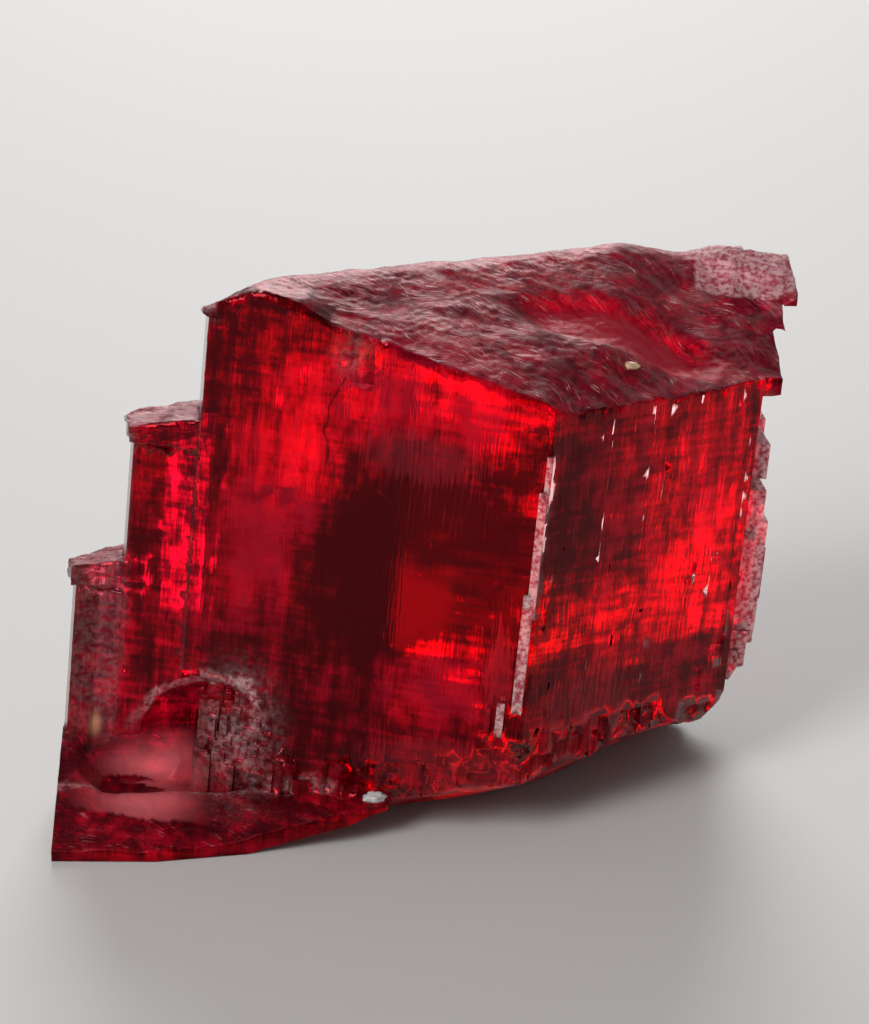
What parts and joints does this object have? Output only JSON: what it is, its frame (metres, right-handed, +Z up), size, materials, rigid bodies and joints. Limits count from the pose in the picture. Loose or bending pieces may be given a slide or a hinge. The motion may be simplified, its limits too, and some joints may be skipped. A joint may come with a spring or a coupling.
{
  "type": "rhodonite crystal",
  "caption": "Broken gem-red mineral crystal specimen that stands on its flat base, with parallel prisms stepping down on the left and an etched end face.",
  "frame": {"origin": "on the ground, under the middle of the crystal's bounding box", "axes": "+X along the crystal's width to the right as seen from the front, +Y away from the front, +Z up"},
  "size_m": [0.0488, 0.0252, 0.037],
  "materials": {
    "rhodonite": "clear deep red crystal with glassy faces and etched, matt ends"
  },
  "bodies": {
    "root": {"rhodonite_crystal": "rhodonite"}
  },
  "joints": []
}
